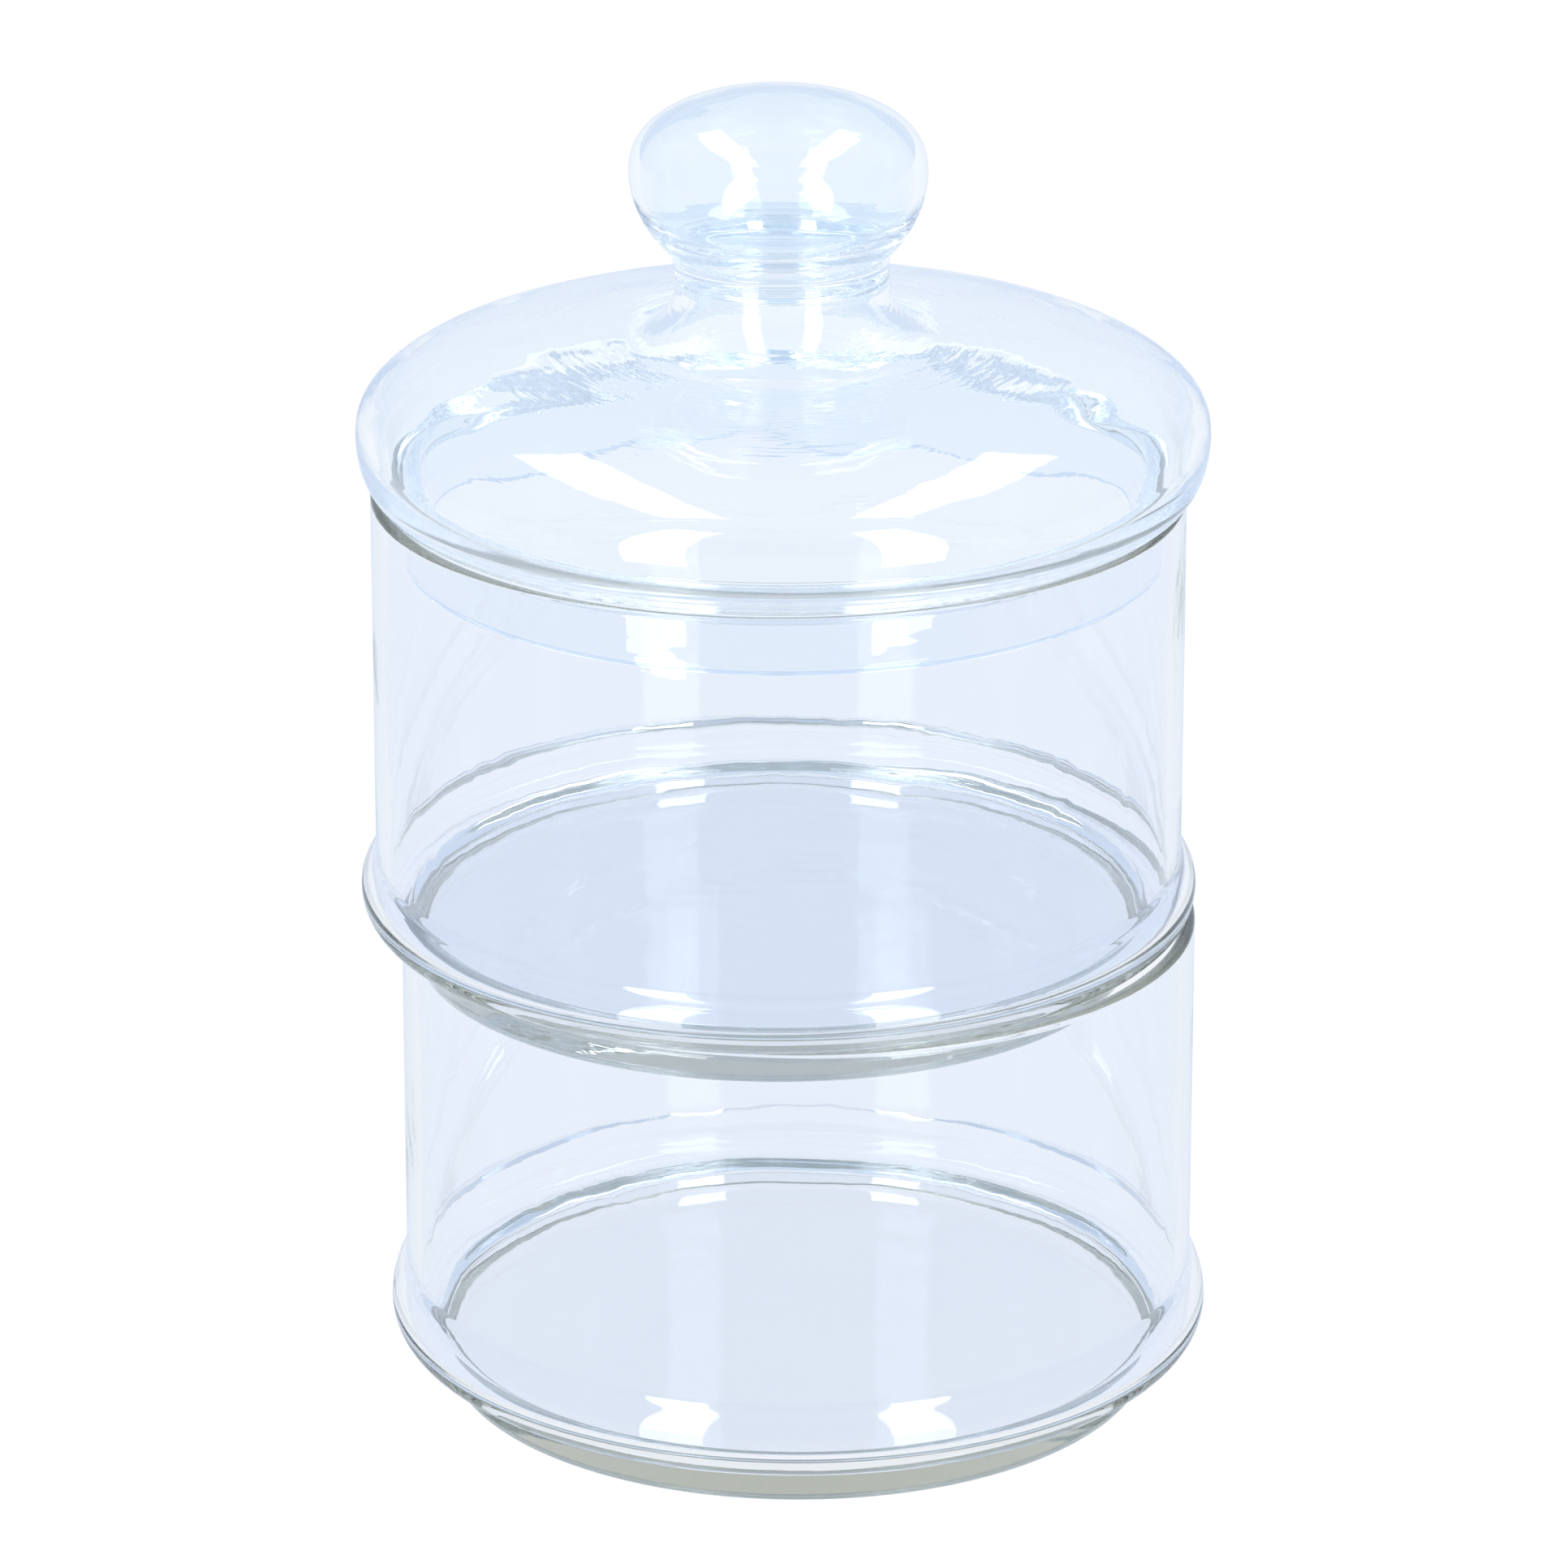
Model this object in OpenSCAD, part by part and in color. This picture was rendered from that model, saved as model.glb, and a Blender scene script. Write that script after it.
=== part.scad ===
// Lidded glass canister: two stacking jars and a domed lid with a hollow knob.
// Every piece is a body of revolution. Millimetres, +Z up, z = 0 under the lower foot,
// and the lower jar's axis is the Z axis.

/* [Lower jar] */
// Outer radius of the lower jar's straight wall
lower_wall_r = 90.1; // [75:0.1:110]
// How far the lower jar's ring bulges past its wall
lower_bulge_out = 3.5; // [2:0.1:6]
// Radius of the round of the lower jar's bulge
lower_bulge_round = 14; // [8:0.5:20]
// Radius of the hollow where the lower bulge runs into the wall
lower_kink_round = 4; // [1:0.5:8]

/* [Upper jar] */
// How much greater the upper jar's wall radius is than the lower jar's
upper_extra_r = 1.1; // [-2:0.1:4]
// How far the upper jar's ring bulges past its wall
upper_bulge_out = 3.4; // [2:0.1:6]
// Radius of the round of the upper jar's bulge
upper_bulge_round = 7; // [6:0.5:20]
// Radius of the hollow where the upper bulge runs into the wall
upper_kink_round = 2.5; // [1:0.5:8]
// Where the upper jar stands in its play, as a share of it, 0 is dead centre
upper_set = -0.8; // [-0.85:0.05:0.85]

/* [Both jars] */
// Height of a jar from the underside of its foot to its rim
jar_h = 111.4; // [70:0.5:180]
// Thickness of the jar wall, and of the rim's round
wall_t = 3.2; // [2:0.1:5]
// Height of the bulge's widest line above the foot
bulge_z = 17.2; // [15:0.1:24]
// Depth of the foot below the flat ring that sits on the rim of the jar below
foot_h = 10.2; // [7:0.1:13]
// Radius of the foot's bottom edge
foot_edge = 2.5; // [1:0.1:4]
// Play all round between a foot and the mouth that it drops into
foot_play = 5.6; // [3:0.1:9]
// Thickness of the solid floor
floor_t = 11.8; // [6:0.1:14]
// Height of the low ledge round the floor
ledge_h = 2.0; // [0.5:0.1:3]
// Width of the slope from the ledge down to the floor
ledge_w = 3.8; // [2:0.1:8]
// How far the ledge's crest lies outside the foot's side
ledge_out = 2.8; // [1:0.1:5]
// Width of the rounded corner under the bulge, outside the flat ring
under_w = 6.1; // [4:0.1:8]

/* [Lid] */
// How far the lid's widest line stands out past the upper jar's wall
lid_over = 4.1; // [2:0.1:8]
// Height of the lid's widest line above its flat ring
lid_mid = 12.6; // [8:0.1:20]
// Rise of the dome above its widest line
dome_rise = 22.5; // [16:0.1:40]
// Squareness of the dome's curve, 2 is an ellipse
dome_square = 2.43; // [2:0.01:3]
// Thickness of the dome
lid_t = 3.0; // [2:0.1:4]
// Width of the rounded corner under the lid's edge, outside the flat ring
lid_under_w = 6.6; // [4:0.1:9]
// How far the collar reaches down inside the upper jar
collar_depth = 15.2; // [8:0.1:30]
// Thickness of the collar
collar_t = 3.2; // [2:0.1:5]
// Radius of the small hollow round where the collar leaves the flat ring
collar_fillet = 1; // [0.5:0.1:2]
// Radius of the round from the inside of the collar out over the flat ring
step_round = 2.2; // [1:0.1:2.8]
// Play all round between the collar and the mouth of the upper jar
collar_play = 3.0; // [1:0.1:5]
// Where the lid stands in its play, as a share of it, 0 is dead centre
lid_set = 0.35; // [-0.85:0.05:0.85]

/* [Neck] */
// Outer radius of the neck under the knob
neck_r = 23.9; // [16:0.1:28]
// Thickness of the neck
neck_t = 3.8; // [2:0.1:5]
// Width of the sweep from the dome up into the neck
flare_w = 12.5; // [6:0.1:20]
// Height of the sweep from the dome up into the neck
flare_rise = 12.5; // [6:0.1:20]
// Squareness of that sweep, 2 is an ellipse
flare_square = 1.9; // [1.7:0.05:3]
// Length of straight neck between the sweep and the seam with the knob
neck_len = 2; // [0.5:0.1:12]

/* [Knob] */
// Greatest radius of the knob
knob_r = 33.1; // [29:0.1:45]
// Height from the knob's widest line to its top
knob_up = 17.2; // [12:0.1:28]
// Height that the knob's lower curve would have if it ran to the axis
knob_down = 28; // [22:0.1:36]
// Squareness of the knob's upper curve, 2 is an ellipse
knob_square_up = 2.38; // [2:0.01:3]
// Squareness of the knob's lower curve, 2 is an ellipse
knob_square_down = 1.88; // [1.7:0.01:2.4]
// Radius of the hollow round where the knob's curve runs into the neck
waist_round = 5; // [2:0.1:10]
// Length of straight stem between the seam and that round
knob_stem = 2.9; // [0.5:0.1:10]
// Thickness of the knob's wall
knob_t = 2.6; // [1.5:0.1:4]
// Thickness at its middle of the glass that closes the knob's bottom
knob_floor = 2.8; // [2:0.1:8]
// Rise of the hollow under the knob's bottom, where the neck's bore ends
bore_rise = 2; // [1:0.1:6]
// Squareness of the lower half of the knob's hollow, 2 is an ellipse
hollow_square = 2.3; // [1.8:0.05:2.6]
// Squareness of the upper half of the knob's hollow
hollow_square_up = 2.38; // [2:0.01:3]

/* [Fit] */
// Gap between a rim and the flat ring that rests on it
seat_gap = 0.3; // [0.2:0.05:0.6]

/* [Hidden] */
$fn = 128;

glass_jar = [0.84, 0.90, 0.97, 0.55];
glass_upper = [0.82, 0.89, 0.97, 0.55];
glass_lid = [0.80, 0.88, 0.98, 0.55];
glass_knob = [0.78, 0.87, 0.98, 0.55];

upper_wall_r = lower_wall_r + upper_extra_r;

// Both jars have the same foot, cut to drop into the lower jar's mouth.
foot_r = lower_wall_r - wall_t - foot_play;
collar_r = upper_wall_r - wall_t - collar_play;

// Where each tier stands.
upper_z = jar_h + seat_gap - foot_h;
upper_x = upper_set * foot_play;
lid_z = upper_z + jar_h + seat_gap;
lid_x = upper_x + lid_set * collar_play;

// Lid and knob levels above the lid's flat ring.
lid_r = upper_wall_r + lid_over;
flare_r = neck_r + flare_w;
bore_r = neck_r - neck_t;
flare_z = lid_mid + dome_level(flare_r, lid_r, dome_rise);
seam_z = flare_z + flare_rise + neck_len;
waist_angle = waist_solve(0, 89);
waist_tilt = curve_tilt(waist_angle);
waist_dip = knob_down * pow(sin(waist_angle), 2 / knob_square_down) + waist_round * sin(waist_tilt);
knob_mid = seam_z + knob_stem + waist_dip;

// Points on an arc of an ellipse, from angle a0 to a1.
function arc(cx, cz, rx, rz, a0, a1, n = 8) =
    [for (i = [0:n]) let (a = a0 + (a1 - a0) * i / n) [cx + rx * cos(a), cz + rz * sin(a)]];

// The same on a squared ellipse: e is its squareness.
function squared(cx, cz, rx, rz, a0, a1, e, n = 20) =
    [for (i = [0:n])
        let (a = a0 + (a1 - a0) * i / n, c = cos(a), s = sin(a))
        [cx + rx * sign(c) * pow(abs(c), 2 / e), cz + rz * sign(s) * pow(abs(s), 2 / e)]];

// Height of a squared ellipse at radius r, and the angle that has that radius.
function dome_level(r, rx, rz, e = dome_square) = rz * pow(1 - pow(r / rx, e), 1 / e);
function dome_angle(r, rx, e = dome_square) = acos(pow(r / rx, e / 2));

// How far the knob's lower curve faces down, in degrees, at one of its angles.
function curve_tilt(a, e = knob_square_down) =
    atan2(pow(sin(a), 2 - 2 / e) / knob_down, pow(cos(a), 2 - 2 / e) / knob_r);

// The angle at which the waist's round meets the knob's lower curve and has its slope, by halving.
function waist_gap(a) =
    knob_r * pow(cos(a), 2 / knob_square_down) - waist_round * (1 - cos(curve_tilt(a))) - neck_r;
function waist_solve(low, high, n = 30) =
    n == 0 ? low
    : let (mid = (low + high) / 2)
        waist_gap(mid) > 0 ? waist_solve(mid, high, n - 1) : waist_solve(low, mid, n - 1);

// Lean of the line between the centres of a bulge's two arcs.
function bulge_lean(out, big, small) = acos((big + small - out) / (big + small));

// Outside of a jar from the axis under the foot up to the rim.
function jar_outside(wall_r, out, big, small) =
    let (
        bulge_r = wall_r + out,
        lean = bulge_lean(out, big, small),
        kink_z = bulge_z + (big + small) * sin(lean)
    )
    concat(
        [[0, 0]],
        arc(foot_r - foot_edge, foot_edge, foot_edge, foot_edge, -90, 0, 6),
        [[foot_r, foot_h]],
        arc(bulge_r - under_w, bulge_z, under_w, bulge_z - foot_h, -90, 0, 8),
        arc(bulge_r - big, bulge_z, big, big, lean / 6, lean, 5),
        arc(wall_r + small, kink_z, small, small, 180 + lean * 3 / 4, 180, 3)
    );

// The round rim, from outside to inside.
function jar_rim(wall_r) = arc(wall_r - wall_t / 2, jar_h - wall_t / 2, wall_t / 2, wall_t / 2, 0, 180, 10);

// Inside of a jar from under the rim down to the floor's middle.
function jar_inside(wall_r, out, big, small) =
    let (
        bulge_r = wall_r + out,
        lean = bulge_lean(out, big, small),
        kink_z = bulge_z + (big + small) * sin(lean),
        crest_r = foot_r + ledge_out,
        crest_z = floor_t + ledge_h
    )
    concat(
        arc(wall_r + small, kink_z, small + wall_t, small + wall_t, 180, 180 + lean * 3 / 4, 3),
        arc(bulge_r - big, bulge_z, big - wall_t, big - wall_t, lean, lean / 6, 5),
        arc(crest_r, bulge_z, bulge_r - wall_t - crest_r, bulge_z - crest_z, 0, -90, 8),
        [for (i = [1:8]) [crest_r - ledge_w * i / 8, floor_t + ledge_h * (1 + cos(180 * i / 8)) / 2]],
        [[0, floor_t]]
    );

module jar(wall_r, out, big, small) {
    rotate_extrude()
        polygon(concat(
            jar_outside(wall_r, out, big, small),
            jar_rim(wall_r),
            jar_inside(wall_r, out, big, small)
        ));
}

// Outside of the lid from the collar's lower edge up to the seam.
function lid_outside() = concat(
    arc(collar_r - collar_t / 2, collar_t / 2 - collar_depth, collar_t / 2, collar_t / 2, -180, 0, 8),
    arc(collar_r + collar_fillet, -collar_fillet, collar_fillet, collar_fillet, 180, 90, 3),
    arc(lid_r - lid_under_w, lid_mid, lid_under_w, lid_mid, -90, 0, 8),
    squared(0, lid_mid, lid_r, dome_rise, 3, dome_angle(flare_r, lid_r), dome_square, 26),
    squared(flare_r, flare_z + flare_rise, -flare_w, -flare_rise, 84, 0, flare_square, 14),
    [[neck_r, seam_z]]
);

// Inside of the lid from the seam down to the collar.
function lid_inside() =
    let (
        top_z = lid_mid + dome_level(flare_r, lid_r - lid_t, dome_rise - lid_t),
        step_r = collar_r - collar_t
    )
    concat(
        [[bore_r, seam_z]],
        squared(flare_r, flare_z + flare_rise, bore_r - flare_r, top_z - flare_z - flare_rise, 0, 84,
            flare_square, 14),
        squared(0, lid_mid, lid_r - lid_t, dome_rise - lid_t, dome_angle(flare_r, lid_r - lid_t), 3,
            dome_square, 26),
        arc(step_r + step_round, lid_mid, lid_r - lid_t - step_r - step_round, lid_mid - lid_t, 0, -90, 8),
        arc(step_r + step_round, lid_t - step_round, step_round, step_round, 108, 180, 4)
    );

// Outside of the knob from the top of the neck's bore, over the seam, to the top.
function knob_outside() = concat(
    squared(0, seam_z, bore_r, bore_rise, 90, 3, 2, 10),
    [[bore_r, seam_z], [neck_r, seam_z]],
    arc(neck_r + waist_round, seam_z + knob_stem, waist_round, waist_round, 180, 180 - waist_tilt * 7 / 8, 7),
    squared(0, knob_mid, knob_r, knob_down, -waist_angle, 0, knob_square_down, 16),
    squared(0, knob_mid, knob_r, knob_up, 4, 90, knob_square_up, 24)
);

// The sealed hollow of the knob.
function knob_inside() =
    let (low = knob_mid - seam_z - bore_rise - knob_floor)
    concat(
        squared(0, knob_mid, knob_r - knob_t, low, -90, 0, hollow_square, 22),
        squared(0, knob_mid, knob_r - knob_t, knob_up - knob_t, 4, 90, hollow_square_up, 20)
    );

module lower_jar() {
    color(glass_jar)
        jar(lower_wall_r, lower_bulge_out, lower_bulge_round, lower_kink_round);
}

module upper_jar() {
    color(glass_upper)
        translate([upper_x, 0, upper_z])
            jar(upper_wall_r, upper_bulge_out, upper_bulge_round, upper_kink_round);
}

module lid() {
    color(glass_lid)
        translate([lid_x, 0, lid_z])
            rotate_extrude()
                polygon(concat(lid_outside(), lid_inside()));
}

module knob() {
    color(glass_knob)
        translate([lid_x, 0, lid_z])
            difference() {
                rotate_extrude() polygon(knob_outside());
                rotate_extrude() polygon(knob_inside());
            }
}

lower_jar();
upper_jar();
lid();
knob();
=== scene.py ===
# %% [markdown]
# # A lidded glass canister in two tiers
# The real object is four lumps of glass and nothing else: two jars of one design that stand foot in
# mouth, and a blown lid with a hollow knob fused to its neck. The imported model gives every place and
# size. What this lesson adds is what makes glass look like glass: true inside and outside walls, soft
# round edges, the slight waviness of hand work, a pale tint and lights worth reflecting.

from math import acos, atan2, cos, hypot, pi, radians, sin

import bpy
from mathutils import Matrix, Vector


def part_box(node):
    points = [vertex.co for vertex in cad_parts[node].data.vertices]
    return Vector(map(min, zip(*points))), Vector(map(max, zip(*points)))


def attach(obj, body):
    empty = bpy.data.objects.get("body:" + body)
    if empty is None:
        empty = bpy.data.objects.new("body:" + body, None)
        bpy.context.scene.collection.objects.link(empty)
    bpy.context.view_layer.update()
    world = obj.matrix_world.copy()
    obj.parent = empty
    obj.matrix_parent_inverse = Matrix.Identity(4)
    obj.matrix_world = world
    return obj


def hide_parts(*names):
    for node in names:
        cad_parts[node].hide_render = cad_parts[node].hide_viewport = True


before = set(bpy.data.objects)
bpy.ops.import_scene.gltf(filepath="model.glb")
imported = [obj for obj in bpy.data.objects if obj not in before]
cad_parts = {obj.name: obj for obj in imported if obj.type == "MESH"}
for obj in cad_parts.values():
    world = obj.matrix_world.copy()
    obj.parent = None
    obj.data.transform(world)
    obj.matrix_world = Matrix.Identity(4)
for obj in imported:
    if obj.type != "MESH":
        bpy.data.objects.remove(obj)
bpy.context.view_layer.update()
MM = 0.001
for node_name in sorted(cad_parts):
    low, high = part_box(node_name)
    print(node_name, [round(value / MM, 1) for value in (*low, *high)])

# %% [markdown]
# ## Where things stand
# Each tier sits a few millimetres off the next in its loose fit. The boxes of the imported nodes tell
# where every axis is and how high every tier stands, so nothing here repeats a place by hand.

# %% Read the axes and levels from the frame


def axis_of(node_name):
    """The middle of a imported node's box, seen from above."""
    low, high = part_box(node_name)
    return (low[0] + high[0]) / 2, (low[1] + high[1]) / 2


def levels_of(node_name):
    """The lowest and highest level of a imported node."""
    low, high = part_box(node_name)
    return low[2], high[2]


def widest_of(node_name):
    """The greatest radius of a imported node, read across X."""
    low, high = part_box(node_name)
    return (high[0] - low[0]) / 2


lower_axis = axis_of("lower_jar")
upper_axis = axis_of("upper_jar")
lid_axis = axis_of("lid")
print("upper jar stands", round((upper_axis[0] - lower_axis[0]) / MM, 2), "mm off the lower one")
print("lid stands", round((lid_axis[0] - upper_axis[0]) / MM, 2), "mm off the upper jar")

# %% [markdown]
# ## Curves for the outlines
# Every piece is turned about an axis, so each is one outline spun round. Outlines are made of straight
# runs, arcs, and squared ellipses, whose corners are fuller than an ellipse's: that is how a blown dome
# and a blown bulb curve. Points on the long runs are needed too, because the waviness comes later and
# only moves points that exist.

# %% Arcs, squared ellipses and extra points


def arc(centre_r, centre_z, wide, tall, start, end, count):
    """Points on an elliptical arc between two angles in degrees."""
    points = []
    for i in range(count + 1):
        angle = radians(start + (end - start) * i / count)
        points.append((centre_r + wide * cos(angle), centre_z + tall * sin(angle)))
    return points


def squared(centre_r, centre_z, wide, tall, start, end, squareness, count):
    """The same on a squared ellipse. A squareness of 2 is a plain ellipse."""
    points = []
    for i in range(count + 1):
        angle = radians(start + (end - start) * i / count)
        across = abs(cos(angle)) ** (2 / squareness)
        up = abs(sin(angle)) ** (2 / squareness) * (1 if sin(angle) >= 0 else -1)
        points.append((centre_r + wide * across, centre_z + tall * up))
    return points


def level_on(radius, wide, tall, squareness):
    """The height of a squared ellipse at a radius."""
    return tall * (1 - (radius / wide) ** squareness) ** (1 / squareness)


def angle_on(radius, wide, squareness):
    """The angle in degrees at which a squared ellipse has that radius."""
    return acos((radius / wide) ** (squareness / 2)) * 180 / pi


def filled_in(points, step=2.5 * MM):
    """The same outline with extra points on its long straight runs."""
    result = [points[0]]
    for (r0, z0), (r1, z1) in zip(points, points[1:]):
        length = hypot(r1 - r0, z1 - z0)
        if length < 1e-7:
            continue
        parts = max(1, int(length / step + 0.5))
        for i in range(1, parts + 1):
            result.append((r0 + (r1 - r0) * i / parts, z0 + (z1 - z0) * i / parts))
    return result


print("a quarter circle in 4:", [(round(r, 2), round(z, 2)) for r, z in arc(0, 0, 1, 1, 0, 90, 4)])

# %% [markdown]
# ## From an outline to a closed shell
# By hand this is: start from one point, extrude it along the outline, spin the wire round the axis,
# merge the doubled seam and the poles, and turn all faces outwards. The functions below do just that.
# Both walls are in the outline, so the glass has its real thickness, and a renderer can bend light
# at every surface.

# %% Draw a wire and spin it
TURNS = 224
MERGE = 0.01 * MM


def nothing_selected():
    """Leave edit mode and drop the selection."""
    if bpy.context.object and bpy.context.object.mode == "EDIT":
        bpy.ops.object.mode_set(mode="OBJECT")
    bpy.ops.object.select_all(action="DESELECT")


def wire(name, axis, points, closed=False):
    """A new object that holds one outline as a chain of edges, in the plane through its axis."""
    nothing_selected()
    start = Vector((axis[0] + points[0][0], axis[1], points[0][1]))
    bpy.ops.mesh.primitive_plane_add(size=MM, location=start)
    bpy.ops.object.transform_apply(location=True)
    piece = bpy.context.object
    piece.name = name
    piece.data.name = name
    bpy.ops.object.mode_set(mode="EDIT")
    bpy.ops.mesh.select_all(action="SELECT")
    bpy.ops.mesh.merge(type="CENTER")
    run = points + [points[0]] if closed else points
    for (r0, z0), (r1, z1) in zip(run, run[1:]):
        bpy.ops.mesh.extrude_region_move(TRANSFORM_OT_translate={"value": (r1 - r0, 0, z1 - z0)})
    bpy.ops.mesh.select_all(action="SELECT")
    bpy.ops.mesh.remove_doubles(threshold=MERGE)
    return piece


def spun(name, axis, points, closed=False, hollow=False):
    """The outline turned into a closed shell. A hollow's faces point into it, out of the glass."""
    piece = wire(name, axis, points, closed)
    bpy.ops.mesh.spin(steps=TURNS, angle=2 * pi, center=(axis[0], axis[1], 0), axis=(0, 0, 1))
    bpy.ops.mesh.select_all(action="SELECT")
    bpy.ops.mesh.remove_doubles(threshold=MERGE)
    bpy.ops.mesh.normals_make_consistent(inside=hollow)
    bpy.ops.object.mode_set(mode="OBJECT")
    return piece


def joined(first, second):
    """Two shells as one piece of glass."""
    nothing_selected()
    second.select_set(True)
    first.select_set(True)
    bpy.context.view_layer.objects.active = first
    bpy.ops.object.join()
    return first


def smooth(piece, corner=40):
    """Round shading, with true corners kept, and flats that stay flat beside their rounds."""
    nothing_selected()
    piece.select_set(True)
    bpy.context.view_layer.objects.active = piece
    bpy.ops.object.shade_smooth_by_angle(angle=radians(corner))
    even = piece.modifiers.new("even", "WEIGHTED_NORMAL")
    even.keep_sharp = True
    bpy.ops.object.modifier_apply(modifier="even")
    print(piece.name, "has", len(piece.data.polygons), "faces")


def wavy(piece, texture_name, grain, depth, low, high):
    """The slow unevenness of blown glass between two levels: points drift along their normals."""
    texture = bpy.data.textures.new(texture_name, "CLOUDS")
    texture.noise_scale = grain
    texture.noise_depth = 1
    group = piece.vertex_groups.new(name=texture_name)
    fade = (high - low) * 0.15
    for vertex in piece.data.vertices:
        above = (vertex.co.z - low) / fade
        below = (high - vertex.co.z) / fade
        weight = max(0.0, min(1.0, above, below))
        if weight > 0:
            group.add([vertex.index], weight, "REPLACE")
    nothing_selected()
    piece.select_set(True)
    bpy.context.view_layer.objects.active = piece
    drift = piece.modifiers.new(texture_name, "DISPLACE")
    drift.texture = texture
    drift.texture_coords = "LOCAL"
    drift.vertex_group = texture_name
    drift.strength = depth * 2
    drift.mid_level = 0.5
    bpy.ops.object.modifier_apply(modifier=texture_name)


# %% [markdown]
# ## The jars
# A jar's outline runs from the middle of its underside, round the foot, out along the flat ring that
# rests on the jar below, round the bulge, up the wall, over the rim and back down the inside to the
# thick solid floor. The bulge's two arcs meet along the line between their centres, so outside and
# inside keep the same wall.

# %% Sizes of the jars
wall_t = 3.2 * MM
foot_play = 5.6 * MM
foot_edge = 2.5 * MM
foot_h = 10.2 * MM
ring_edge = 0.8 * MM
bulge_z = 17.2 * MM
floor_t = 11.8 * MM
ledge_h = 2.0 * MM
ledge_w = 3.8 * MM
ledge_out = 2.8 * MM
under_w = 6.1 * MM
lower_bulge = {"out": 3.5 * MM, "big": 14 * MM, "small": 4 * MM}
upper_bulge = {"out": 3.4 * MM, "big": 7 * MM, "small": 2.5 * MM}
jar_h = levels_of("lower_jar")[1] - levels_of("lower_jar")[0]
lower_wall_r = widest_of("lower_jar") - lower_bulge["out"]
upper_wall_r = widest_of("upper_jar") - upper_bulge["out"]
foot_r = lower_wall_r - wall_t - foot_play
print("walls", round(lower_wall_r / MM, 1), round(upper_wall_r / MM, 1), "foot", round(foot_r / MM, 1))

# %% The outline of a jar


def jar_outline(wall_r, out, big, small):
    """From the axis under the foot to the axis on the floor, for a jar that stands on level 0."""
    bulge_r = wall_r + out
    lean = acos((big + small - out) / (big + small))
    kink_z = bulge_z + (big + small) * sin(lean)
    lean = lean * 180 / pi
    crest_r = foot_r + ledge_out
    crest_z = floor_t + ledge_h
    outside = [(0, 0)]
    outside += arc(foot_r - foot_edge, foot_edge, foot_edge, foot_edge, -90, 0, 10)
    outside += arc(foot_r + ring_edge, foot_h - ring_edge, ring_edge, ring_edge, 180, 90, 5)
    outside += arc(bulge_r - under_w, bulge_z, under_w, bulge_z - foot_h, -90, 0, 14)
    outside += arc(bulge_r - big, bulge_z, big, big, lean / 10, lean, 9)
    outside += arc(wall_r + small, kink_z, small, small, 180 + lean * 5 / 6, 180, 6)
    rim = arc(wall_r - wall_t / 2, jar_h - wall_t / 2, wall_t / 2, wall_t / 2, 0, 180, 16)
    inside = arc(wall_r + small, kink_z, small + wall_t, small + wall_t, 180, 180 + lean * 5 / 6, 6)
    inside += arc(bulge_r - big, bulge_z, big - wall_t, big - wall_t, lean, lean / 10, 9)
    inside += arc(crest_r, bulge_z, bulge_r - wall_t - crest_r, bulge_z - crest_z, 0, -90, 14)
    for i in range(1, 13):
        inside.append((crest_r - ledge_w * i / 12, floor_t + ledge_h * (1 + cos(pi * i / 12)) / 2))
    inside.append((0, floor_t))
    return outside + rim + inside


def raised(points, level):
    """An outline lifted to where its piece stands."""
    return [(r, z + level) for r, z in points]


# %% Spin the jars
lower_outline = jar_outline(lower_wall_r, **lower_bulge)
upper_outline = raised(jar_outline(upper_wall_r, **upper_bulge), levels_of("upper_jar")[0])
lower_glass = spun("lower_jar_glass", lower_axis, filled_in(lower_outline))
upper_glass = spun("upper_jar_glass", upper_axis, filled_in(upper_outline))

# %% [markdown]
# ## The lid and its knob
# The lid is one wall all the way: up the collar that reaches into the mouth, out along the ring that
# rests on the rim, round the edge, over the dome and up a wide sweep into the neck. The knob is a bulb,
# pinched to a round waist and fused on to the neck. Its hollow is a second shell inside, a drop of air
# with no corners, and the neck's bore ends in a shallow dome under it.

# %% Sizes of the lid and the knob
collar_play = 3.0 * MM
collar_t = 3.2 * MM
collar_depth = 15.2 * MM
collar_fillet = 1 * MM
step_round = 2.2 * MM
lid_mid = 12.6 * MM
lid_t = 3.0 * MM
lid_under_w = 6.6 * MM
dome_rise = 22.5 * MM
dome_square = 2.43
neck_r = 23.9 * MM
neck_t = 3.8 * MM
flare_w = 12.5 * MM
flare_rise = 12.5 * MM
flare_square = 1.9
bore_r = neck_r - neck_t
knob_up = 17.2 * MM
knob_down = 28 * MM
knob_square_up = 2.38
knob_square_down = 1.88
knob_t = 2.6 * MM
knob_floor = 2.8 * MM
bore_rise = 2 * MM
hollow_square = 2.3
hollow_square_up = 2.38
waist_round = 5 * MM
seam_gap = 0.04 * MM
lid_r = widest_of("lid")
knob_r = widest_of("knob")
lid_z = levels_of("lid")[0] + collar_depth
seam_z = levels_of("lid")[1]
knob_mid = levels_of("knob")[1] - knob_up
collar_r = upper_wall_r - wall_t - collar_play
print("lid seat at", round(lid_z / MM, 1), "seam at", round(seam_z / MM, 1), "mm")

# %% The outline of the lid


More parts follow.
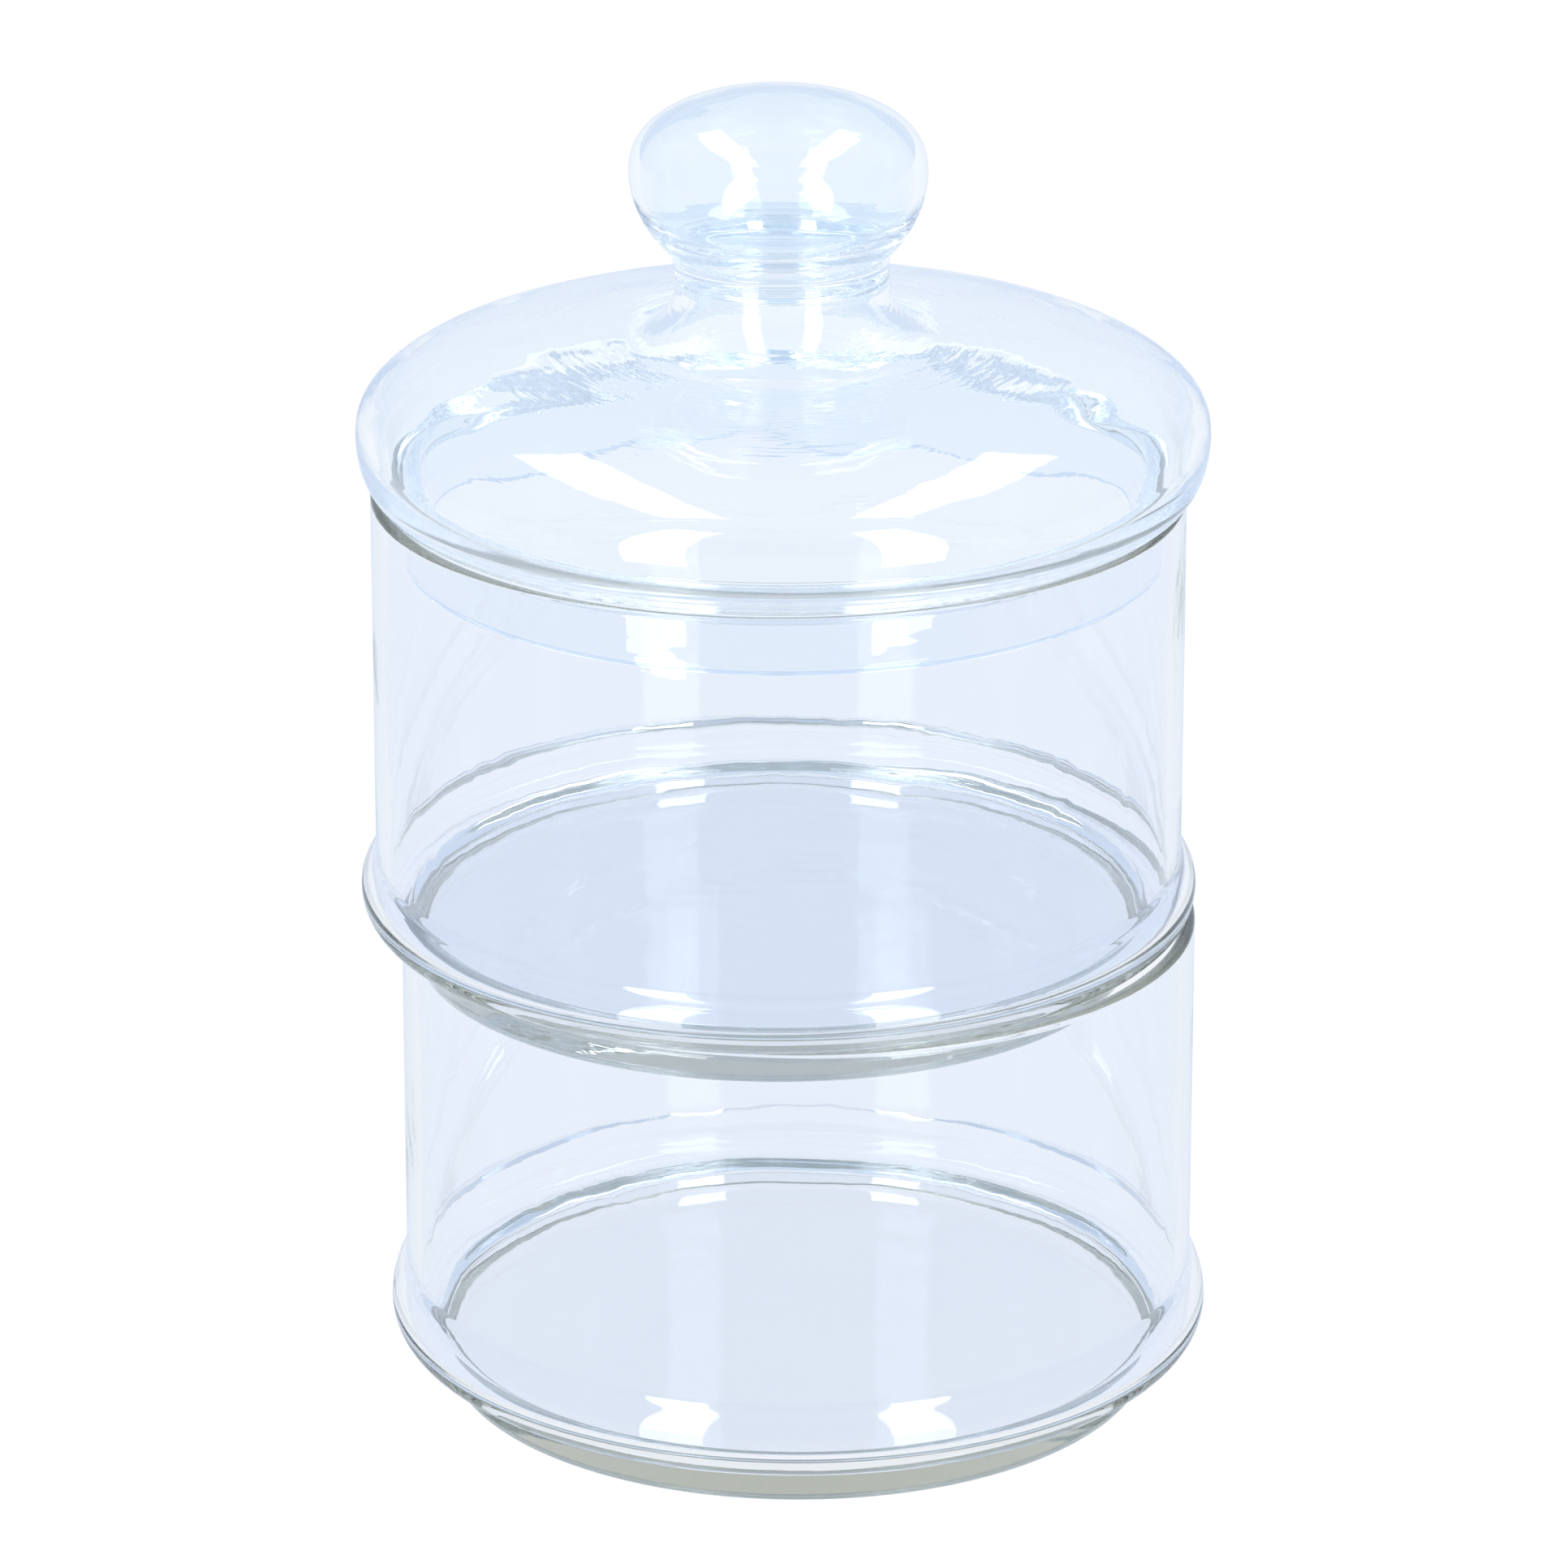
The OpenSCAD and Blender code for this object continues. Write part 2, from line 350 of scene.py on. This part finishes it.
def lid_outline():
    """A closed loop, from the collar's lower edge up the outside and back down the inside."""
    flare_r = neck_r + flare_w
    flare_z = lid_mid + level_on(flare_r, lid_r, dome_rise, dome_square)
    top_z = lid_mid + level_on(flare_r, lid_r - lid_t, dome_rise - lid_t, dome_square)
    step_r = collar_r - collar_t
    seam = seam_z - lid_z - seam_gap / 2
    lip = collar_t / 2
    outside = arc(collar_r - lip, lip - collar_depth, lip, lip, -180, 0, 14)
    outside += arc(collar_r + collar_fillet, -collar_fillet, collar_fillet, collar_fillet, 180, 90, 6)
    outside += arc(lid_r - lid_under_w, lid_mid, lid_under_w, lid_mid, -90, 0, 18)
    outer_end = angle_on(flare_r, lid_r, dome_square)
    outside += squared(0, lid_mid, lid_r, dome_rise, 1.5, outer_end, dome_square, 60)
    outside += squared(flare_r, flare_z + flare_rise, -flare_w, -flare_rise, 87, 0, flare_square, 30)
    outside.append((neck_r, seam))
    inside = [(bore_r, seam)]
    sweep_w = bore_r - flare_r
    sweep_rise = top_z - flare_z - flare_rise
    inside += squared(flare_r, flare_z + flare_rise, sweep_w, sweep_rise, 0, 87, flare_square, 30)
    inner_end = angle_on(flare_r, lid_r - lid_t, dome_square)
    inside += squared(0, lid_mid, lid_r - lid_t, dome_rise - lid_t, inner_end, 1.5, dome_square, 60)
    turn_r = step_r + step_round
    inside += arc(turn_r, lid_mid, lid_r - lid_t - turn_r, lid_mid - lid_t, 0, -90, 16)
    inside += arc(turn_r, lid_t - step_round, step_round, step_round, 100, 180, 8)
    return outside + inside


# %% Where the waist's round meets the bulb


def waist_meeting():
    """The bulb's angle, and its slope there, at which a round of the waist's radius touches both."""
    low, high = 0.0, 89.0
    for _ in range(40):
        middle = radians((low + high) / 2)
        power = 2 - 2 / knob_square_down
        tilt = atan2(sin(middle) ** power / knob_down, cos(middle) ** power / knob_r)
        reach = knob_r * cos(middle) ** (2 / knob_square_down) - waist_round * (1 - cos(tilt))
        if reach > neck_r:
            low = middle * 180 / pi
        else:
            high = middle * 180 / pi
    return low, tilt * 180 / pi


waist_angle, waist_tilt = waist_meeting()
waist_dip = knob_down * sin(radians(waist_angle)) ** (2 / knob_square_down)
waist_dip += waist_round * sin(radians(waist_tilt))
waist_z = knob_mid - waist_dip
print("narrowest", round((waist_z - seam_z) / MM, 2), "mm above the seam")

# %% The outlines of the knob


def knob_outline():
    """The bulb's outside, from the top of the neck's bore, round the seam, to the axis at the top."""
    seam = seam_z + seam_gap / 2
    outside = squared(0, seam, bore_r, bore_rise, 90, 2, 2, 24)
    outside += [(bore_r, seam), (neck_r, seam)]
    turn_end = 180 - waist_tilt * 0.95
    outside += arc(neck_r + waist_round, waist_z, waist_round, waist_round, 180, turn_end, 18)
    outside += squared(0, knob_mid, knob_r, knob_down, -waist_angle, 0, knob_square_down, 40)
    outside += squared(0, knob_mid, knob_r, knob_up, 1.5, 90, knob_square_up, 50)
    return outside


def knob_hollow():
    """The sealed drop of air, from the axis on the bulb's floor to the axis under its top."""
    in_r = knob_r - knob_t
    depth = knob_mid - seam_z - bore_rise - knob_floor
    hollow = squared(0, knob_mid, in_r, depth, -90, 0, hollow_square, 50)
    hollow += squared(0, knob_mid, in_r, knob_up - knob_t, 1.5, 90, hollow_square_up, 50)
    return hollow


# %% Spin the lid and the knob
lid_glass = spun("lid_glass", lid_axis, filled_in(raised(lid_outline(), lid_z)), closed=True)
knob_glass = spun("knob_glass", lid_axis, filled_in(knob_outline()))
knob_void = spun("knob_void", lid_axis, filled_in(knob_hollow()), hollow=True)
knob_glass = joined(knob_glass, knob_void)

# %% [markdown]
# ## Waviness
# Hand-made glass is never quite true. Its walls drift by a tenth of a millimetre over a few
# centimetres, and the dome by more. The rims, seats and collar stay true, so the fits stay clear.
# The bulb was also set a little off the neck, so it leans: the points are pushed sideways, more and
# more with height, with one weight for the neck and the bulb, so the seam stays closed.

# %% A lean


def leaning(piece, name, shift, low, high):
    """Push a piece sideways, not at all at one level and by the whole shift at another."""
    group = piece.vertex_groups.new(name=name)
    for vertex in piece.data.vertices:
        share = max(0.0, min(1.0, (vertex.co.z - low) / (high - low)))
        if share > 0:
            group.add([vertex.index], share * share * (3 - 2 * share), "REPLACE")
    nothing_selected()
    piece.select_set(True)
    bpy.context.view_layer.objects.active = piece
    push = piece.modifiers.new(name, "DISPLACE")
    push.direction = "X"
    push.vertex_group = name
    push.strength = shift
    push.mid_level = 0
    bpy.ops.object.modifier_apply(modifier=name)


lean_shift = -1.1 * MM
neck_foot = seam_z - flare_rise
leaning(lid_glass, "neck_lean", lean_shift, neck_foot, knob_mid)
leaning(knob_glass, "knob_lean", lean_shift, neck_foot, knob_mid)
print("the bulb leans", round(-lean_shift / MM, 1), "mm to the left")

# %% Let the walls drift
wavy(lower_glass, "lower_wall_drift", 38 * MM, 0.05 * MM, 26 * MM, 108 * MM)
wavy(upper_glass, "upper_wall_drift", 34 * MM, 0.05 * MM, 128 * MM, 208 * MM)
wavy(lid_glass, "dome_drift", 26 * MM, 0.12 * MM, lid_z + 14 * MM, lid_z + 40 * MM)
wavy(knob_glass, "knob_drift", 22 * MM, 0.08 * MM, seam_z + 6 * MM, seam_z + 44 * MM)
for piece in (lower_glass, upper_glass, lid_glass, knob_glass):
    smooth(piece)

# %% [markdown]
# ## A short way to write shaders
# A material is a graph, and its sums are far easier to read as formulas. One small class wraps an
# output, so that a plus or a times sign adds a Math node.

# %% Wires and shaders


class Wire:
    """An output of a node. Sums on wires add Math nodes."""

    def __init__(self, shader, socket):
        self.shader = shader
        self.socket = socket

    def beside(self, name):
        """Another output of the same node."""
        return Wire(self.shader, self.socket.node.outputs[name])

    def maths(self, operation, first, second):
        return self.shader.add("ShaderNodeMath", {"operation": operation}, {0: first, 1: second})

    def __add__(self, other):
        return self.maths("ADD", self, other)

    def __sub__(self, other):
        return self.maths("SUBTRACT", self, other)

    def __mul__(self, other):
        return self.maths("MULTIPLY", self, other)

    def __truediv__(self, other):
        return self.maths("DIVIDE", self, other)

    def __pow__(self, other):
        return self.maths("POWER", self, other)

    def __radd__(self, other):
        return self.maths("ADD", other, self)

    def __rsub__(self, other):
        return self.maths("SUBTRACT", other, self)

    def __rmul__(self, other):
        return self.maths("MULTIPLY", other, self)


class Graph:
    """The nodes of a material or of the world."""

    def __init__(self, owner):
        owner.use_nodes = True
        self.nodes = owner.node_tree.nodes
        self.links = owner.node_tree.links

    def feed(self, socket, value):
        if isinstance(value, Wire):
            self.links.new(value.socket, socket)
        else:
            socket.default_value = value

    def add(self, kind, settings=None, inputs=None, output=0):
        """A new node of any kind, with its settings made first and then its sockets fed."""
        node = self.nodes.new(kind)
        for name, value in (settings or {}).items():
            setattr(node, name, value)
        for name, value in (inputs or {}).items():
            self.feed(node.inputs[name], value)
        return Wire(self, node.outputs[output])


class Shader(Graph):
    """A material's graph, with a Principled surface ready to be fed."""

    def __init__(self, name):
        self.material = bpy.data.materials.new(name)
        super().__init__(self.material)
        self.surface = self.nodes["Principled BSDF"]
        self.end = self.nodes["Material Output"]

    def set(self, **values):
        for name, value in values.items():
            self.feed(self.surface.inputs[name.replace("_", " ")], value)


# %% [markdown]
# ## The glass
# Clear soda glass is not colourless. Each wall takes a little red out of the light, which leaves a
# breath of blue, and a long way through the thick foot leaves grey green: that is the absorption in
# the volume. The surface is as smooth as fire made it, with fine rings from turning and slow cords
# where the melt was uneven. Both are bumps, and bumps bend the view through the glass as well as
# the reflections on it.

# %% Glass materials


def around(shader, axis):
    """Wires for the place on a turned piece: the direction from its axis as x and y, and radius."""
    place = shader.add("ShaderNodeTexCoord", output="Object")
    apart = shader.add("ShaderNodeSeparateXYZ", None, {"Vector": place}, output="X")
    x = apart - axis[0]
    y = apart.beside("Y") - axis[1]
    z = apart.beside("Z")
    radius = (x * x + y * y) ** 0.5
    return place, x / (radius + 1e-5), y / (radius + 1e-5), z, radius


ring_near = 30 * MM
ring_far = 76 * MM
ring_slant = 1.3
tint_scale = 24.0


def glass(name, axis, look):
    """Clear glass with rings around an axis and slow cords. The look is a dictionary of its values."""
    shader = Shader(name)
    place, out_x, out_y, z, radius = around(shader, axis)
    fade = {"Value": radius, "From Min": ring_near, "From Max": ring_far}
    fade.update({"To Min": look["ring_gain"], "To Max": 1.0})
    gain = shader.add("ShaderNodeMapRange", {"interpolation_type": "SMOOTHSTEP"}, fade)
    run = shader.add(
        "ShaderNodeCombineXYZ",
        None,
        {
            "X": out_x * look["ring_breaks"],
            "Y": out_y * look["ring_breaks"],
            "Z": (radius * ring_slant - z) / look["ring_pitch"],
        },
    )
    rings = shader.add("ShaderNodeTexNoise", None, {"Vector": run, "Scale": 1.0, "Detail": 2.0})
    melt = {"Vector": place, "Scale": 1 / look["cord_size"], "Detail": 1.0, "Distortion": 0.6}
    cords = shader.add("ShaderNodeTexNoise", None, melt)
    height = rings * gain * look["ring_height"] + cords * look["cord_height"]
    bump = shader.add("ShaderNodeBump", None, {"Strength": 1.0, "Distance": 1.0, "Height": height})
    drift = shader.add("ShaderNodeTexNoise", None, {"Vector": place, "Scale": tint_scale, "Detail": 1.0})
    pale, paler = look["tints"]
    colour = shader.add(
        "ShaderNodeMix",
        {"data_type": "RGBA"},
        {"Factor": drift, "A": (*pale, 1), "B": (*paler, 1)},
        output=2,
    )
    shader.set(Base_Color=colour, Roughness=0.0, IOR=1.5, Transmission_Weight=1.0, Normal=bump)
    depth = {"Color": (*look["depth_colour"], 1), "Density": look["depth"]}
    absorb = shader.add("ShaderNodeVolumeAbsorption", None, depth)
    shader.feed(shader.end.inputs["Volume"], absorb)
    return shader.material


# %% [markdown]
# ## Four glasses
# The jars are thick and a little grey green in their depth. The lid and the knob are thin, and look
# blue grey where they are seen edge on. The lid was turned while it was soft, so its rings are
# strongest round the neck and fade towards the edge, and they break off every few centimetres.

# %% Put the glass on
JAR_TINTS = ((0.905, 0.940, 0.998), (0.922, 0.950, 1.0))
LID_TINTS = ((0.925, 0.967, 0.999), (0.945, 0.975, 1.0))
KNOB_TINTS = ((0.905, 0.958, 1.0), (0.925, 0.968, 1.0))
GREY_GREEN = (0.55, 0.56, 0.46)
GREY_BLUE = (0.56, 0.64, 0.75)
jar_look = {
    "tints": JAR_TINTS,
    "ring_height": 0.01 * MM,
    "ring_pitch": 6 * MM,
    "ring_gain": 1.0,
    "ring_breaks": 0.9,
    "cord_height": 0.04 * MM,
    "depth_colour": GREY_GREEN,
}
lower_look = {**jar_look, "cord_size": 16 * MM, "depth": 9.0}
upper_look = {**jar_look, "cord_size": 14 * MM, "depth": 7.0}
lid_look = {
    "tints": LID_TINTS,
    "ring_height": 0.012 * MM,
    "ring_pitch": 4 * MM,
    "ring_gain": 7.0,
    "ring_breaks": 2.4,
    "cord_height": 0.04 * MM,
    "cord_size": 14 * MM,
    "depth_colour": GREY_BLUE,
    "depth": 2.5,
}
knob_look = {
    **lid_look,
    "tints": KNOB_TINTS,
    "ring_height": 0.01 * MM,
    "ring_gain": 1.0,
    "ring_breaks": 0.9,
    "cord_height": 0.03 * MM,
    "cord_size": 12 * MM,
}
coats = {
    lower_glass: glass("lower_jar_clear", lower_axis, lower_look),
    upper_glass: glass("upper_jar_clear", upper_axis, upper_look),
    lid_glass: glass("lid_clear", lid_axis, lid_look),
    knob_glass: glass("knob_clear", lid_axis, knob_look),
}
for piece, material in coats.items():
    piece.data.materials.clear()
    piece.data.materials.append(material)
    print(piece.name, "wears", material.name)

# %% [markdown]
# ## Tie the pieces to the frame
# Each piece rides on the body that carries its node, and stands for that node.

# %% Ride and replace
for piece, node_name, body_name, slot_name in (
    (lower_glass, "lower_jar", "lower_body", "jar_glass"),
    (upper_glass, "upper_jar", "upper_body", "jar_glass"),
    (lid_glass, "lid", "lid_body", "lid_glass"),
    (knob_glass, "knob", "lid_body", "lid_glass"),
):
    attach(piece, body_name)
    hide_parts(node_name)
    print(piece.name, "rides on", body_name)

# %% [markdown]
# ## The studio
# Clear glassware is shot on a lit white table, so that all that is seen through it is white, in a
# room that is pale blue grey. The room shows only where the glass bends the view away from the
# table, along the edges, and there it draws them in blue.

# %% Floor and world
table_glow = 1.01
table_size = 30
table_drop = 0.02 * MM


def lit_table():
    """A wide white table that glows a little, as a translucent table lit from below does."""
    nothing_selected()
    bpy.ops.mesh.primitive_plane_add(size=table_size, location=(0, 0, -table_drop))
    table = bpy.context.object
    table.name = "table"
    shader = Shader("white_table")
    shader.set(Base_Color=(0, 0, 0, 1), Roughness=1.0, Specular_IOR_Level=0.0)
    shader.set(Emission_Color=(1, 1, 1, 1), Emission_Strength=table_glow)
    table.data.materials.append(shader.material)
    table.visible_glossy = False
    return table


def pale_room(walls, overhead, behind):
    """A pale blue grey world, a little different overhead and behind the camera."""
    world = bpy.data.worlds.new("pale_room")
    bpy.context.scene.world = world
    room = Graph(world)
    toward = room.add("ShaderNodeTexCoord", output="Generated")
    up = room.add("ShaderNodeSeparateXYZ", None, {"Vector": toward}, output="Z")
    back = up.beside("Y") * -1
    soft = {"interpolation_type": "SMOOTHSTEP"}
    high = room.add("ShaderNodeMapRange", soft, {"Value": up, "From Min": 0.15, "From Max": 0.9})
    near = room.add("ShaderNodeMapRange", soft, {"Value": back, "From Min": 0.5, "From Max": 0.95})
    blend = {"data_type": "RGBA"}
    sideways = {"Factor": high, "A": (*walls, 1), "B": (*overhead, 1)}
    colour = room.add("ShaderNodeMix", blend, sideways, output=2)
    colour = room.add("ShaderNodeMix", blend, {"Factor": near, "A": colour, "B": (*behind, 1)}, output=2)
    room.feed(room.nodes["Background"].inputs["Color"], colour)


lit_table()
pale_room(walls=(0.71, 0.80, 0.94), overhead=(0.80, 0.89, 0.99), behind=(0.62, 0.71, 0.82))

# %% [markdown]
# ## The camera
# A long lens from about two metres, a little above, looks down into the mouths of the jars.

# %% Camera
target = Vector((-3.25 * MM, 0, 141 * MM))
distance = 2.05
pitch = radians(20.7)
bpy.ops.object.camera_add(location=target + distance * Vector((0, -cos(pitch), sin(pitch))))
camera = bpy.context.object
camera.rotation_euler = (pi / 2 - pitch, 0, 0)
camera.data.sensor_width = 36
camera.data.lens = 208.1
camera.data.clip_end = 100
bpy.context.scene.camera = camera
print("camera at", [round(value, 3) for value in camera.location])

# %% [markdown]
# ## The lights
# Glass has no look of its own but what it mirrors. Two tall soft boxes stand left and right of the
# camera and make the bright patches on the bulges and the dome. Two long strips hang overhead and
# run away from the camera; they make the slanting streaks on the dome and the wings in the knob.

# %% Soft boxes
stand_height = 150 * MM


def only_mirrored(light, name, width, height, radiance):
    """Size a flat light and hide it from everything but the glass."""
    light.name = name
    light.data.shape = "RECTANGLE"
    light.data.size = width
    light.data.size_y = height
    light.data.energy = radiance * pi * width * height
    light.visible_camera = False
    light.visible_diffuse = False
    print(name, round(width, 2), "by", round(height, 2), "m")


def soft_box(name, bearing, spread, low, high, reach, radiance):
    """A flat tall light that faces the canister. Angles in degrees, seen from the canister."""
    foot_level = reach * sin(radians(low)) / cos(radians(low))
    top_level = reach * sin(radians(high)) / cos(radians(high))
    width = 2 * reach * sin(radians(spread / 2)) / cos(radians(spread / 2))
    turn = radians(bearing)
    middle = Vector((reach * sin(turn), -reach * cos(turn), (foot_level + top_level) / 2))
    bpy.ops.object.light_add(type="AREA", location=middle + Vector((0, 0, stand_height)))
    light = bpy.context.object
    light.rotation_euler = (pi / 2, 0, turn)
    only_mirrored(light, name, width, top_level - foot_level, radiance)


light_radiance = 4.5
box_bearing = 33.5
soft_box("soft_box_left", -box_bearing, 17, -17, 58, 1.6, light_radiance)
soft_box("soft_box_right", box_bearing, 17, -17, 58, 1.6, light_radiance)

# %% Strips overhead
strip_level = 1.25
strip_width = 0.2
strip_near = Vector((0.27, -0.12, strip_level))
strip_far = Vector((0.42, 0.95, strip_level))


def strip_light(name, side, radiance):
    """A long flat light overhead on one side, which runs away from the camera and faces down."""
    near = Vector((side * strip_near.x, strip_near.y, strip_near.z))
    far = Vector((side * strip_far.x, strip_far.y, strip_far.z))
    run = far - near
    bpy.ops.object.light_add(type="AREA", location=(near + far) / 2)
    light = bpy.context.object
    light.rotation_euler = (0, 0, atan2(-run.x, run.y))
    only_mirrored(light, name, strip_width, run.length, radiance)


strip_light("strip_left", -1, light_radiance)
strip_light("strip_right", 1, light_radiance)

# %% [markdown]
# ## How the picture is developed
# Light can go round inside a thick rim for hundreds of turns before it leaves. Where its path is cut
# short the picture goes black, so the paths are allowed to be very long.

# %% How the picture is developed
scene = bpy.context.scene
scene.view_settings.view_transform = "Standard"
scene.view_settings.look = "None"
longest_path = 512
scene.cycles.max_bounces = longest_path
scene.cycles.transmission_bounces = longest_path
scene.cycles.glossy_bounces = longest_path
scene.cycles.transparent_max_bounces = 24
